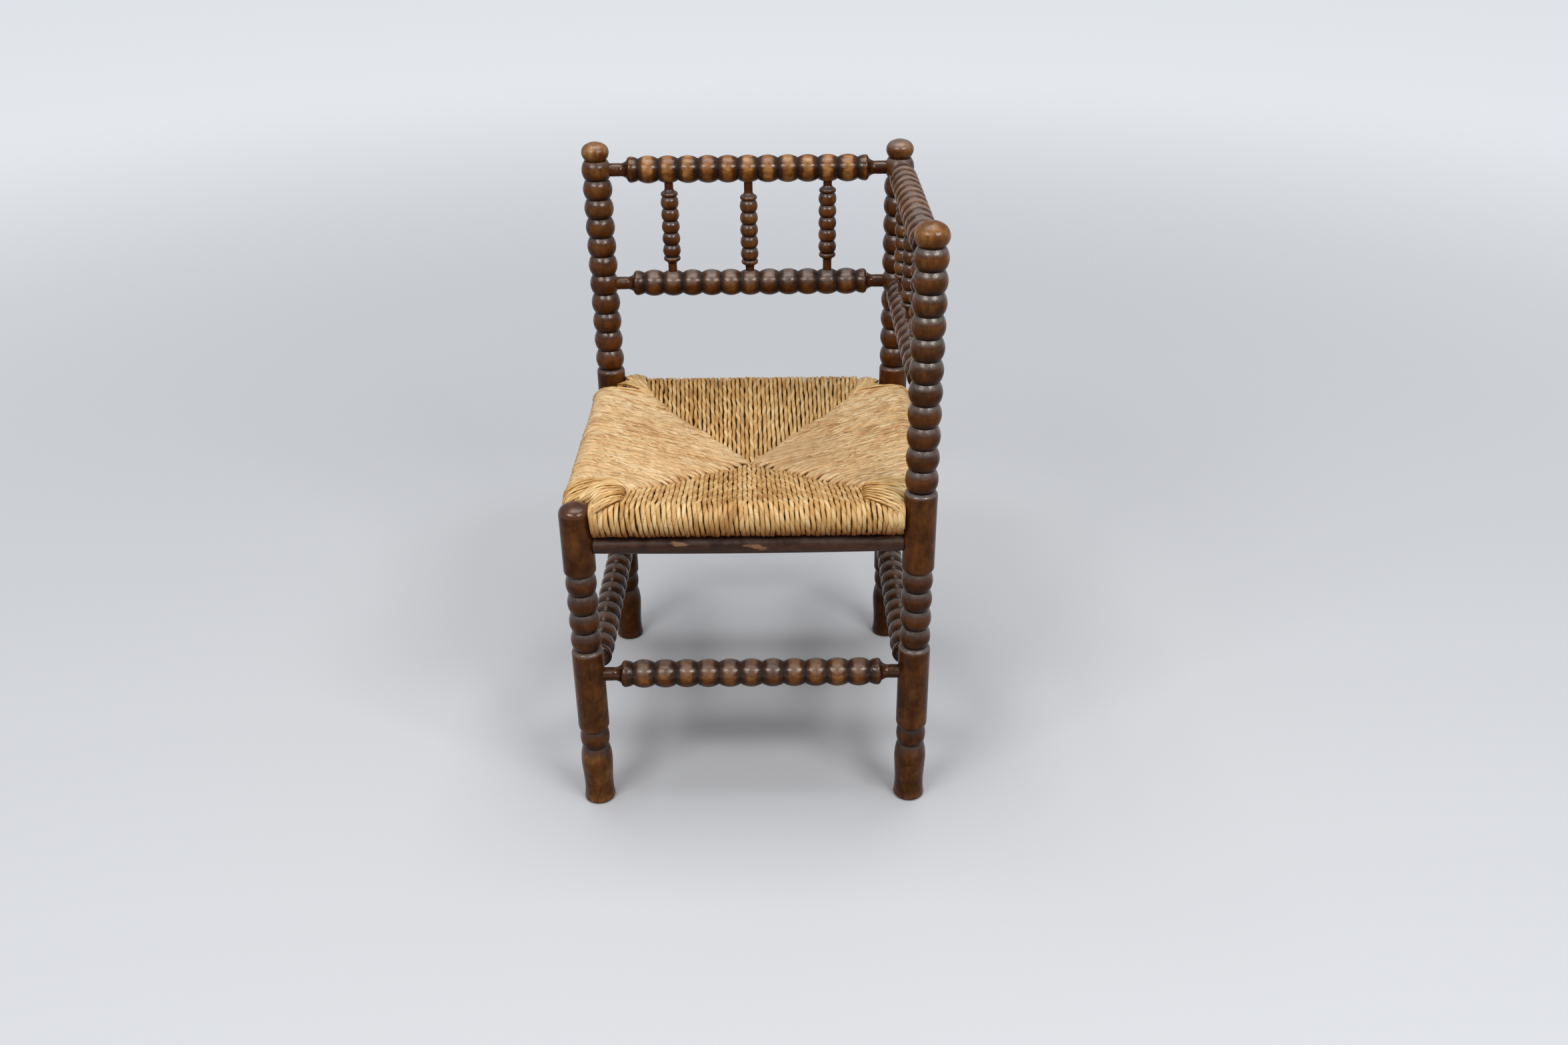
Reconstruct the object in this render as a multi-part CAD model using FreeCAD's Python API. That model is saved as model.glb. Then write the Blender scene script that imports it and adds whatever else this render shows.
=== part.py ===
import FreeCAD, Part
import math
import os

# Corner chair with bobbin-turned posts and rails, open panels of turned spindles on the back
# and on the right side, and a rush seat that is wound over four hidden rails.
# Millimetres. +Z is up, the front faces -Y, and the origin is on the floor under the middle.

Vector = FreeCAD.Vector

# Plan, measured between the centre lines of the posts
front_width = 400.0
back_width = 394.0
depth = 385.0

# Posts, from the floor up
post_radius = 19.3
foot_height = 84.0
toe_radius = 19.7
toe_rounding = 4.0
waist_radius = 18.2
vase_radius = 19.8
foot_groove_radius = 16.2
ankle_bead_height = 25.6
ankle_bead_radius = 18.4
lower_plain_height = 120.0
lower_bead_height = 26.4
lower_bead_radius = 18.7
lower_bead_count = 4
seat_plain_height = 106.1
shoulder_height = 7.0
upper_bead_count = 11
bottom_bead_height = 27.5
top_bead_height = 24.6
groove_radius = 15.0
dome_edge_angle = 50
leg_top_rise = 92.7
leg_dome_height = 11.5

# Bun finials: the front one is larger than the two at the back
front_finial_neck_radius = 12.7
front_finial_radius = 19.3
front_finial_drop = 11.8
front_finial_rise = 15.7
back_finial_neck_radius = 12.4
back_finial_radius = 17.9
back_finial_drop = 11.3
back_finial_rise = 12.6

# Heights of the level pieces above the plain stretch of post that carries them. The lower rails
# enter at a bead counted up from the seat, and the top rails at the last bead.
cross_stretcher_rise = 80.7
side_stretcher_rise = 78.0
under_rail_rise = 37.3
front_seat_rail_rise = 71.0
back_seat_rail_rise = 66.5
side_seat_rail_rise = 74.0
lower_rail_bead_count = 5
side_stretcher_inset = 6.0

# Bobbin-turned rails and stretchers
neck_radius = 8.5
neck_length = 10.0
cove_length = 10.8
cove_top_radius = 12.8
collar_radius = 16.6
collar_rise_length = 5.2
collar_fall_length = 9.0
rail_notch_radius = 13.7
rail_bead_radius = 17.6
rail_bead_count = 11

# Spindles, whose turned middle sits a little higher or lower from one to the next. Each stands
# at a bead counted along its rails.
spindle_tenon_radius = 5.8
spindle_tenon_length = 8.0
spindle_bead_radius = 11.9
spindle_notch_radius = 8.9
spindle_bead_height = 16.1
spindle_bead_count = 5
spindle_ring_height = 6.2
spindle_ring_radius = 11.3
spindle_cove_height = 6.0
spindle_place_bead_counts = (2, 6, 10)
back_spindle_rises = (1.0, -4.5, 4.0)
side_spindle_rises = (1.0, 1.0, 4.0)

# Plain rail under the front edge of the seat
under_rail_end_radius = 9.8
under_rail_middle_radius = 11.2

# Hidden rails that carry the rush
seat_rail_radius = 13.5
seat_tenon_radius = 7.0
seat_tenon_length = 12.0

# Rush seat
rush_thickness = 7.5
rush_clearance = 0.3
seat_rim_step = 1.0
seat_sag = 36.0
seat_middle_thickness = 20.0
seat_flat_share = 0.08
stuffing_cover = 6.0
stuffing_inset = 34.0

# Fits
tenon_gap = 0.6
socket_clearance = 0.1
socket_floor_gap = 0.4
overrun = 4.0

# Heights that follow from the posts
ankle_base = foot_height
lower_plain_base = ankle_base + ankle_bead_height
lower_beads_base = lower_plain_base + lower_plain_height
seat_plain_base = lower_beads_base + lower_bead_count * lower_bead_height
upper_beads_base = seat_plain_base + seat_plain_height
finial_base = upper_beads_base + upper_bead_count * (bottom_bead_height + top_bead_height) / 2
tenon_stop = neck_radius + tenon_gap
roll_radius = seat_rail_radius + rush_thickness

post_places = {
    "front_left": Vector(-front_width / 2, -depth / 2, 0),
    "front_right": Vector(front_width / 2, -depth / 2, 0),
    "back_left": Vector(-back_width / 2, depth / 2, 0),
    "back_right": Vector(back_width / 2, depth / 2, 0),
}


def turned(steps):
    """Solid turned about Z. Steps alternate (radius, height) corners with what joins them:
    None for a straight line, one point for an arc through it, a list of points for a curve."""
    corners = [Vector(radius, 0, height) for radius, height in steps[0::2]]
    edges = []
    if corners[0].x > 0:
        edges.append(Part.makeLine(Vector(0, 0, corners[0].z), corners[0]))
    for start, middle, end in zip(corners, steps[1::2], corners[1:]):
        if middle is None:
            edges.append(Part.makeLine(start, end))
        elif isinstance(middle, list):
            curve = Part.BSplineCurve()
            curve.interpolate([start] + [Vector(radius, 0, height) for radius, height in middle] + [end])
            edges.append(curve.toShape())
        else:
            edges.append(Part.Arc(start, Vector(middle[0], 0, middle[1]), end).toShape())
    if corners[-1].x > 0:
        edges.append(Part.makeLine(corners[-1], Vector(0, 0, corners[-1].z)))
    edges.append(Part.makeLine(Vector(0, 0, corners[-1].z), Vector(0, 0, corners[0].z)))
    face = Part.Face(Part.Wire(edges))
    return face.revolve(Vector(0, 0, 0), Vector(0, 0, 1), 360)


def laid(solid, start, direction):
    """The solid with its foot at start and its axis along direction."""
    placed = solid.copy()
    placed.Placement = FreeCAD.Placement(start, FreeCAD.Rotation(Vector(0, 0, 1), direction))
    return placed


def mirrored(steps, length):
    """The same outline run backwards from the other end of a piece of this length."""
    turned_round = []
    for step in reversed(steps):
        turned_round.append(step if step is None else (step[0], length - step[1]))
    return turned_round


def beads(base, heights, crest_radius, notch_radius):
    """Arcs of a row of beads, each from notch to notch, without the first notch."""
    steps = []
    at = base
    for height in heights:
        steps.append((crest_radius, at + height / 2))
        at += height
        steps.append((notch_radius, at))
    return steps


def oval_arc(middle_height, radius, rise, first, last):
    """Step along an upright oval, between two angles above its widest circle."""
    steps = []
    for angle in ((first + last) / 2, last):
        steps.append((radius * math.cos(math.radians(angle)),
                      middle_height + rise * math.sin(math.radians(angle))))
    return steps


def domed_top(middle_height, radius, rise):
    """Steps from the widest circle over a rounded edge to a cap whose ball is centred on the axis."""
    edge = oval_arc(middle_height, radius, rise, 0, dome_edge_angle)
    cap_radius, cap_base = edge[-1]
    cap_rise = middle_height + rise - cap_base
    ball = (cap_radius ** 2 + cap_rise ** 2) / (2 * cap_rise)
    half_angle = math.asin(cap_radius / ball) / 2
    cap_middle = (ball * math.sin(half_angle), middle_height + rise - ball * (1 - math.cos(half_angle)))
    return edge + [cap_middle, (0.0, middle_height + rise)]


def shoulder(base, direction):
    """Middle of the rounded shoulder between a plain stretch and the groove beside it."""
    bend_share = 0.3
    radius = groove_radius + (post_radius - groove_radius) * (1 - bend_share)
    return (radius, base + direction * shoulder_height * bend_share)


def upper_bead_heights():
    """Bead heights above the seat, which shrink evenly towards the top."""
    change = (top_bead_height - bottom_bead_height) / (upper_bead_count - 1)
    return [bottom_bead_height + change * number for number in range(upper_bead_count)]


def upper_bead_middle(number):
    """Height of the middle of a bead above the seat, counted up from 0."""
    heights = upper_bead_heights()
    return upper_beads_base + sum(heights[:number]) + heights[number] / 2


def leg_steps():
    """Outline from the floor to the plain stretch at the seat, the same on all four posts."""
    vase_height_shares = (0.28, 0.53, 0.76)
    vase_radii = (waist_radius, (waist_radius + 2 * vase_radius) / 3, vase_radius)
    toe_bend = toe_rounding * (1 - math.cos(math.radians(45)))
    steps = [(toe_radius - toe_rounding, 0.0)]
    steps += [(toe_radius - toe_bend, toe_bend), (toe_radius, toe_rounding)]
    vase_height = foot_height - toe_rounding
    vase_heights = [toe_rounding + vase_height * share for share in vase_height_shares]
    steps += [list(zip(vase_radii, vase_heights)), (foot_groove_radius, foot_height)]
    steps += beads(ankle_base, [ankle_bead_height], ankle_bead_radius, foot_groove_radius)
    steps += [shoulder(lower_plain_base, 1), (post_radius, lower_plain_base + shoulder_height)]
    steps += [None, (post_radius, lower_beads_base - shoulder_height)]
    steps += [shoulder(lower_beads_base, -1), (groove_radius, lower_beads_base)]
    lower_row = [lower_bead_height] * lower_bead_count
    steps += beads(lower_beads_base, lower_row, lower_bead_radius, groove_radius)
    steps += [shoulder(seat_plain_base, 1), (post_radius, seat_plain_base + shoulder_height)]
    return steps


def tall_post(neck, radius, drop, rise):
    """Post that carries a panel: beads from the seat to a bun finial of this neck and radius,
    which drops and rises this far from its widest circle."""
    steps = leg_steps()
    steps += [None, (post_radius, upper_beads_base - shoulder_height)]
    steps += [shoulder(upper_beads_base, -1), (groove_radius, upper_beads_base)]
    steps += beads(upper_beads_base, upper_bead_heights(), post_radius, groove_radius)
    neck_angle = -math.degrees(math.acos(neck / radius))
    lower_rise = drop / math.sin(math.radians(-neck_angle))
    steps += [None, (neck, finial_base)]
    steps += oval_arc(finial_base + drop, radius, lower_rise, neck_angle, 0)
    steps += domed_top(finial_base + drop, radius, rise)
    return turned(steps)


def short_leg():
    """Leg at the open corner: it stops at the seat in a low dome."""
    steps = leg_steps()
    dome_base = seat_plain_base + leg_top_rise - leg_dome_height
    steps += [None, (post_radius, dome_base)]
    steps += domed_top(dome_base, post_radius, leg_dome_height)
    return turned(steps)


def bobbin_rail(span):
    """Turned rail between two post centre lines that are span apart, with a round tenon each end."""
    cove_base = post_radius + neck_length
    collar_base = cove_base + cove_length
    collar_crest = collar_base + collar_rise_length
    first_notch = collar_crest + collar_fall_length
    bend_share = 0.7
    end = [(neck_radius, tenon_stop), None, (neck_radius, cove_base)]
    end += [(neck_radius + (cove_top_radius - neck_radius) * (1 - bend_share),
             cove_base + cove_length * bend_share), (cove_top_radius, collar_base)]
    end += [(cove_top_radius + (collar_radius - cove_top_radius) * bend_share,
             collar_base + collar_rise_length * (1 - bend_share)), (collar_radius, collar_crest)]
    end += [(rail_notch_radius + (collar_radius - rail_notch_radius) * bend_share,
             collar_crest + collar_fall_length / 2), (rail_notch_radius, first_notch)]
    row = [rail_bead_pitch(span)] * rail_bead_count
    middle = beads(first_notch, row, rail_bead_radius, rail_notch_radius)
    return turned(end + middle[:-1] + mirrored(end, span))


def rail_first_notch():
    """Distance from a post's centre line to the notch where the row of beads starts."""
    return post_radius + neck_length + cove_length + collar_rise_length + collar_fall_length


def rail_bead_pitch(span):
    """Length of one bead: the beads share what the two ends leave of the span."""
    return (span - 2 * rail_first_notch()) / rail_bead_count


def rail_bead_place(span, number):
    """Distance along a rail to the middle of a bead, counted from 1."""
    return rail_first_notch() + rail_bead_pitch(span) * (2 * number - 1) / 2


def spindle(length, rise):
    """Spindle between two rails: tenon, neck, cove, ring, beads, ring, cove, neck, tenon."""
    row = spindle_bead_count * spindle_bead_height
    first_notch = (length - row) / 2 + rise
    last_notch = first_notch + row

    def end(notch, direction):
        ring = notch + direction * spindle_ring_height
        crest = notch + direction * spindle_ring_height / 2
        cove = ring + direction * spindle_cove_height
        cove_middle_share = 0.3
        cove_middle = (spindle_tenon_radius
                       + (spindle_notch_radius - spindle_tenon_radius) * cove_middle_share,
                       ring + direction * spindle_cove_height * (1 - cove_middle_share) / 2)
        return [(spindle_notch_radius, notch), (spindle_ring_radius, crest), (spindle_notch_radius, ring),
                cove_middle, (spindle_tenon_radius, cove)]

    steps = [(spindle_tenon_radius, -spindle_tenon_length), None]
    steps += list(reversed(end(first_notch, -1)))
    steps += beads(first_notch, [spindle_bead_height] * spindle_bead_count,
                   spindle_bead_radius, spindle_notch_radius)[:-1]
    steps += end(last_notch, 1)
    steps += [None, (spindle_tenon_radius, length + spindle_tenon_length)]
    return turned(steps)


def under_rail(span):
    """Plain rail, a little swollen in the middle, with a shouldered round tenon each end."""
    # The rail's own ends stay inside the posts, where their round faces hide the shoulders.
    shoulder_place = post_radius - socket_floor_gap
    steps = [(seat_tenon_radius, tenon_stop), None, (seat_tenon_radius, span - tenon_stop)]
    tenons = turned(steps)
    body = [(under_rail_end_radius, shoulder_place), (under_rail_middle_radius, span / 2),
            (under_rail_end_radius, span - shoulder_place)]
    return tenons.fuse(turned(body)).removeSplitter().Solids[0]


def seat_rail(span):
    """Round rail inside the rush, thinned to a tenon each end."""
    taper_end = post_radius + seat_tenon_length
    end = [(seat_tenon_radius, tenon_stop), None, (seat_tenon_radius, post_radius),
           None, (seat_rail_radius, taper_end)]
    return turned(end + [None] + mirrored(end, span))


def bored(post, place, sockets):
    """The post at its place, with a blind round socket for each tenon that enters it."""
    solid = laid(post, place, Vector(0, 0, 1))
    for start, direction, radius in sockets:
        solid = solid.cut(Part.makeCylinder(radius + socket_clearance, 2 * post_radius,
                                            start + direction * (tenon_stop - socket_floor_gap), direction))
    return solid


def seat_outline(height, share=1.0, inset=0.0):
    """Outline of the seat through the post centre lines, scaled about its middle, then drawn in."""
    corners = []
    for name in ("front_left", "front_right", "back_right", "back_left"):
        place = post_places[name]
        corners.append(Vector(place.x * share - math.copysign(inset, place.x),
                              place.y * share - math.copysign(inset, place.y), height))
    return Part.makePolygon(corners + corners[:1])


def seat_slab(inset, cover):
    """Slab between the rails, with four flat sides that slope to a small flat in the middle, above
    and below. Inset draws in its edges, and cover comes off its top and off its underside."""
    rises = (front_seat_rail_rise, back_seat_rail_rise, side_seat_rail_rise)
    top = seat_plain_base + min(rises) + roll_radius - seat_rim_step - cover
    bottom = seat_plain_base + max(rises) - roll_radius + seat_rim_step + cover
    middle_top = top - seat_sag
    middle_bottom = middle_top - seat_middle_thickness + 2 * cover
    mouth_share = 1 + (1 - seat_flat_share) * overrun / seat_sag
    pit = Part.makeLoft([seat_outline(middle_top, seat_flat_share),
                         seat_outline(top + overrun, mouth_share)], True, True)
    body = Part.makeLoft([seat_outline(middle_bottom, seat_flat_share), seat_outline(bottom),
                          seat_outline(top)], True, True)
    column = Part.Face(seat_outline(middle_bottom, 1.0, inset))
    column = column.extrude(Vector(0, 0, top - middle_bottom))
    return column.common(body).cut(pit)


def corner_notch(place):
    """Square column that holds the rush clear of a post, from its inner sides outwards."""
    inward = post_radius + rush_clearance
    outward = 2 * roll_radius
    low_x = min(place.x - math.copysign(inward, place.x), place.x + math.copysign(outward, place.x))
    low_y = min(place.y - math.copysign(inward, place.y), place.y + math.copysign(outward, place.y))
    return Part.makeBox(inward + outward, inward + outward, finial_base, Vector(low_x, low_y, 0))


def rail_ends(first, second, rise, inset=0.0):
    """Start point and full vector of a level piece between two posts, moved in by inset."""
    start = post_places[first] + Vector(0, 0, rise)
    run = post_places[second] - post_places[first]
    inwards = Vector(-math.copysign(inset, start.x), 0, 0)
    return start + inwards, run


def rush_seat(rail_lines):
    """Rush wound over the four rails: a roll round each rail and a dished slab between them."""
    seat = seat_slab(0.0, 0.0)
    for start, run in rail_lines:
        roll = Part.makeCylinder(roll_radius, run.Length, start, run)
        seat = seat.fuse(roll)
    for start, run in rail_lines:
        widened = seat_rail_radius + rush_clearance
        seat = seat.cut(Part.makeCylinder(widened, run.Length, start, run))
    for place in post_places.values():
        seat = seat.cut(corner_notch(place))
    return seat.cut(seat_slab(stuffing_inset, stuffing_cover))


def save(name, shape):
    """Write one piece and say how many solids and how much wood or rush it holds."""
    shape.exportStep("parts/" + name + ".step")
    print(name, len(shape.Solids), "solid", round(shape.Volume / 1000, 1), "cm3", shape.isValid())


os.makedirs("parts", exist_ok=True)

cross_stretcher_height = lower_plain_base + cross_stretcher_rise
side_stretcher_height = lower_plain_base + side_stretcher_rise
under_rail_height = seat_plain_base + under_rail_rise
top_rail_height = upper_bead_middle(upper_bead_count - 1)
lower_rail_height = upper_bead_middle(lower_rail_bead_count - 1)

# Every level piece: its two posts, its height, its inset, its turning and its tenon radius
level_pieces = [
    ("front_stretcher", "front_left", "front_right", cross_stretcher_height, 0.0, bobbin_rail, neck_radius),
    ("back_stretcher", "back_left", "back_right", cross_stretcher_height, 0.0, bobbin_rail, neck_radius),
    ("front_under_rail", "front_left", "front_right", under_rail_height, 0.0, under_rail, seat_tenon_radius),
    ("back_top_rail", "back_left", "back_right", top_rail_height, 0.0, bobbin_rail, neck_radius),
    ("back_lower_rail", "back_left", "back_right", lower_rail_height, 0.0, bobbin_rail, neck_radius),
    ("side_top_rail", "front_right", "back_right", top_rail_height, 0.0, bobbin_rail, neck_radius),
    ("side_lower_rail", "front_right", "back_right", lower_rail_height, 0.0, bobbin_rail, neck_radius),
]
for side in ("left", "right"):
    level_pieces.append((side + "_stretcher", "front_" + side, "back_" + side, side_stretcher_height,
                         side_stretcher_inset, bobbin_rail, neck_radius))
seat_rail_places = [
    ("front", "front_left", "front_right", front_seat_rail_rise),
    ("back", "back_left", "back_right", back_seat_rail_rise),
    ("left", "front_left", "back_left", side_seat_rail_rise),
    ("right", "front_right", "back_right", side_seat_rail_rise),
]
seat_rail_lines = []
for side, first, second, rise in seat_rail_places:
    level_pieces.append((side + "_seat_rail", first, second, seat_plain_base + rise, 0.0, seat_rail,
                         seat_tenon_radius))
    seat_rail_lines.append(rail_ends(first, second, seat_plain_base + rise))

solids = {}
sockets = {name: [] for name in post_places}
for name, first, second, height, inset, turning, tenon_radius in level_pieces:
    start, run = rail_ends(first, second, height, inset)
    along = Vector(run).normalize()
    solids[name] = laid(turning(run.Length), start, run)
    sockets[first].append((start, along, tenon_radius))
    sockets[second].append((start + run, -along, tenon_radius))

# Spindles stand between the lower and the top rail of each panel, in holes bored in both
panels = [
    ("back", "back_left", "back_right", ("left", "middle", "right"), back_spindle_rises),
    ("side", "front_right", "back_right", ("front", "middle", "back"), side_spindle_rises),
]
for panel, first, second, places, rises in panels:
    start, run = rail_ends(first, second, lower_rail_height)
    along = Vector(run).normalize()
    gap = top_rail_height - lower_rail_height - 2 * rail_bead_radius
    for place, bead, rise in zip(places, spindle_place_bead_counts, rises):
        foot = start + along * rail_bead_place(run.Length, bead) + Vector(0, 0, rail_bead_radius)
        solids[panel + "_spindle_" + place] = laid(spindle(gap, rise), foot, Vector(0, 0, 1))
        hole = Part.makeCylinder(spindle_tenon_radius + socket_clearance,
                                 gap + 2 * (spindle_tenon_length + socket_floor_gap),
                                 foot - Vector(0, 0, spindle_tenon_length + socket_floor_gap))
        for rail in (panel + "_top_rail", panel + "_lower_rail"):
            solids[rail] = solids[rail].cut(hole)

# The leg at the open corner and the three posts that carry the panels
front_post = tall_post(front_finial_neck_radius, front_finial_radius, front_finial_drop, front_finial_rise)
back_post = tall_post(back_finial_neck_radius, back_finial_radius, back_finial_drop, back_finial_rise)
uprights = [
    ("front_left_leg", "front_left", short_leg()),
    ("front_right_post", "front_right", front_post),
    ("back_left_post", "back_left", back_post),
    ("back_right_post", "back_right", back_post),
]
for name, corner, shape in uprights:
    solids[name] = bored(shape, post_places[corner], sockets[corner])

solids["rush_seat"] = rush_seat(seat_rail_lines)
solids["seat_stuffing"] = seat_slab(stuffing_inset + rush_clearance, stuffing_cover + rush_clearance)

for name, shape in solids.items():
    save(name, shape)
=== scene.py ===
# %% [markdown]
# A corner chair: turned posts, two open panels of bobbin-turned rails and spindles, and a seat of twisted
# rush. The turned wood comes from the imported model, so here it only gets its finish. The rush is made here
# strand by strand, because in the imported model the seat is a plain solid, and its weave is what the eye
# goes to first.

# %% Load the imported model
import math
import random

import bmesh
import bpy
from mathutils import Matrix, Vector, noise


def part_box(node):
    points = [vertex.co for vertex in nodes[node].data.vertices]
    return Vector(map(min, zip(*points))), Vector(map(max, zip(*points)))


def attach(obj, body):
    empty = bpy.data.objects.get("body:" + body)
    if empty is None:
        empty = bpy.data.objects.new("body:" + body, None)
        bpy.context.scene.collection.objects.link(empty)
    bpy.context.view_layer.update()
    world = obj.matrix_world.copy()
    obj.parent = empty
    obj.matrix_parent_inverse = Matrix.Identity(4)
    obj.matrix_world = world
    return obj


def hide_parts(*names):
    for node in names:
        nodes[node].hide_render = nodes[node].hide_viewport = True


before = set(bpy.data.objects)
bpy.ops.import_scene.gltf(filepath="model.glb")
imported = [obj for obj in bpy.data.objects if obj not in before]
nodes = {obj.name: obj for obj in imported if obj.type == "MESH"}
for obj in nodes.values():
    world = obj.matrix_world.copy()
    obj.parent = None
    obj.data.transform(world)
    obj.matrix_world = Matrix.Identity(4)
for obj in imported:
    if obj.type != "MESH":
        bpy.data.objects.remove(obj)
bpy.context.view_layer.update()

mm = 0.001

# %% [markdown]
# The camera stands in front of the chair, a little to the right and above its top, and looks down. Its
# place, turn and focal length were solved from the chair's own lines, so a height or a width on the model
# falls on the same spot of the picture.

# %% Camera
focal_length = 31.44
camera_place = (0.0401, -1.5913, 1.1593)
turned_left, looks_down, tilted = -0.077, 28.48, -0.555

camera_data = bpy.data.cameras.new("camera")
camera_data.sensor_fit = "HORIZONTAL"
camera_data.sensor_width = 36.0
camera_data.lens = focal_length
camera = bpy.data.objects.new("camera", camera_data)
bpy.context.scene.collection.objects.link(camera)
yaw = Matrix.Rotation(math.radians(turned_left), 4, "Z")
pitch = Matrix.Rotation(math.radians(90 - looks_down), 4, "X")
roll = Matrix.Rotation(math.radians(tilted), 4, "Z")
camera.matrix_world = Matrix.Translation(camera_place) @ yaw @ pitch @ roll
bpy.context.scene.camera = camera
bpy.context.scene.view_settings.view_transform = "Standard"
print("camera looks down by", looks_down, "degrees")

# %% [markdown]
# A material is a tree of nodes. Writing each node out takes many lines, so a small class adds one node per
# call and joins its inputs.

# %% Helper for a finish
class Finish:
    """A material under construction. Each method adds one node and returns its output."""

    def __init__(self, name):
        self.material = bpy.data.materials.new(name)
        self.material.use_nodes = True
        self.tree = self.material.node_tree
        self.shader = self.tree.nodes["Principled BSDF"]

    def fill(self, node, inputs):
        for name, value in inputs.items():
            if isinstance(value, bpy.types.NodeSocket):
                self.tree.links.new(value, node.inputs[name])
            else:
                node.inputs[name].default_value = value

    def add(self, kind, inputs, output=0, **settings):
        node = self.tree.nodes.new("ShaderNode" + kind)
        for name, value in settings.items():
            setattr(node, name, value)
        self.fill(node, inputs)
        return node.outputs[output]

    def math(self, operation, first, second=0.0, clamp=False):
        return self.add("Math", {0: first, 1: second}, operation=operation, use_clamp=clamp)

    def times(self, first, second, clamp=False):
        return self.math("MULTIPLY", first, second, clamp)

    def vector(self, operation, first, second=(0.0, 0.0, 0.0), output=0):
        return self.add("VectorMath", {0: first, 1: second}, output, operation=operation)

    def stretched(self, vector, sizes):
        return self.vector("MULTIPLY", vector, sizes)

    def length(self, vector):
        return self.vector("LENGTH", vector, output="Value")

    def span(self, value, low, high, start=0.0, end=1.0):
        return self.add("MapRange", {0: value, 1: low, 2: high, 3: start, 4: end},
                        interpolation_type="SMOOTHSTEP")

    def mix(self, share, first, second, blend="MIX"):
        return self.add("Mix", {0: share, 6: first, 7: second}, 2, data_type="RGBA", blend_type=blend)

    def noise(self, vector, scale, seed, detail=3.0, roughness=0.55, distortion=0.0):
        inputs = {"Vector": vector, "W": seed, "Scale": scale, "Detail": detail,
                  "Roughness": roughness, "Distortion": distortion}
        return self.add("TexNoise", inputs, noise_dimensions="4D")

    def ramp(self, value, stops):
        output = self.add("ValToRGB", {0: value})
        band = output.node.color_ramp
        while len(band.elements) < len(stops):
            band.elements.new(1.0)
        for element, (place, colour) in zip(band.elements, stops):
            element.position = place
            element.color = (*colour, 1.0)
        return output

    def total(self, start, *parts):
        """The start, plus each further value times its weight."""
        for value, weight in parts:
            start = self.math("ADD", start, self.times(value, weight))
        return start

    def centred(self, value):
        """A pattern that swings round 0.5, made to swing round 0."""
        return self.math("SUBTRACT", value, 0.5)

    def shaded(self, tone, shade):
        """A colour made darker or lighter by a plain value."""
        grey = self.add("CombineXYZ", {0: shade, 1: shade, 2: shade})
        return self.mix(1.0, tone, grey, "MULTIPLY")

    def upward_slope(self):
        """1 where the surface faces up, 0 where it is upright and -1 where it faces down."""
        return self.add("SeparateXYZ", {0: self.add("NewGeometry", {}, "Normal")}, "Z")

    def bump(self, height_in_mm):
        normal = self.add("Bump", {"Height": height_in_mm, "Strength": 1.0, "Distance": mm})
        self.tree.links.new(normal, self.shader.inputs["Normal"])

    def give_to(self, piece):
        piece.data.materials.clear()
        piece.data.materials.append(self.material)


def colour(red, green, blue):
    return (red, green, blue, 1.0)

# %% [markdown]
# The floor is a plain pale sheet, large enough to fill the picture. To the camera and in reflections it is
# nearly white. To the light that bounces off it, it is a wooden brown, because a white floor would light the
# undersides of the dark turnings. Less light falls on it far away, so there it is paler and glows a little,
# but only for the camera and for reflections.

# %% Floor
floor_half_size = 30.0
light_colour = colour(0.93, 0.96, 1.0)


def into_scene(name, shape):
    """An object at the origin, made of a finished bmesh."""
    mesh = bpy.data.meshes.new(name)
    shape.to_mesh(mesh)
    shape.free()
    piece = bpy.data.objects.new(name, mesh)
    bpy.context.scene.collection.objects.link(piece)
    print(name, "triangles:", sum(len(face.vertices) - 2 for face in mesh.polygons))
    return piece


shape = bmesh.new()
bmesh.ops.create_grid(shape, x_segments=2, y_segments=2, size=floor_half_size)
floor = into_scene("floor", shape)
matt = Finish("pale_floor")
ray = matt.tree.nodes.new("ShaderNodeLightPath").outputs
seen = matt.math("MAXIMUM", ray["Is Camera Ray"], ray["Is Glossy Ray"])
seen = matt.math("MAXIMUM", seen, ray["Is Transmission Ray"])
place = matt.add("TexCoord", {}, "Object")
far = matt.span(matt.length(place), 0.3, 5.0)
pale = matt.mix(far, colour(0.73, 0.74, 0.765), colour(0.93, 0.95, 0.98))
floor_colour = matt.mix(seen, colour(0.27, 0.22, 0.16), pale)
glow = matt.times(seen, matt.times(far, 0.54))
matt.fill(matt.shader, {"Base Color": floor_colour, "Roughness": 0.9, "Specular IOR Level": 0.1,
                        "Emission Color": light_colour, "Emission Strength": glow})
matt.give_to(floor)

# %% [markdown]
# Soft studio light: a pale world that fills the shadows, a large soft box overhead, and two wide, flat ones
# in front. These put a short streak of light on the shoulder of every bead, which makes turned and waxed
# wood read as round.

# %% World and lamps
world_strength = 0.27
chair_middle = Vector((0.0, 0.0, 0.45))

world = bpy.data.worlds.new("pale_room")
world.use_nodes = True
background = world.node_tree.nodes["Background"].inputs
background["Color"].default_value = light_colour
background["Strength"].default_value = world_strength
bpy.context.scene.world = world


def soft_box(name, place, width, height, watts):
    """A soft box at this place, turned to the chair."""
    data = bpy.data.lights.new(name, "AREA")
    data.shape = "RECTANGLE"
    data.size = width
    data.size_y = height
    data.energy = watts
    lamp = bpy.data.objects.new(name, data)
    bpy.context.scene.collection.objects.link(lamp)
    lamp.location = place
    lamp.rotation_euler = (chair_middle - Vector(place)).to_track_quat("-Z", "Y").to_euler()


soft_box("overhead", (0.0, 0.1, 2.8), 2.0, 1.5, 32.0)
soft_box("front_left", (-1.15, -1.62, 2.20), 1.10, 0.46, 20.0)
soft_box("front_right", (1.30, -1.62, 2.15), 1.10, 0.46, 23.0)
print("lamps:", len(bpy.data.lights))

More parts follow.
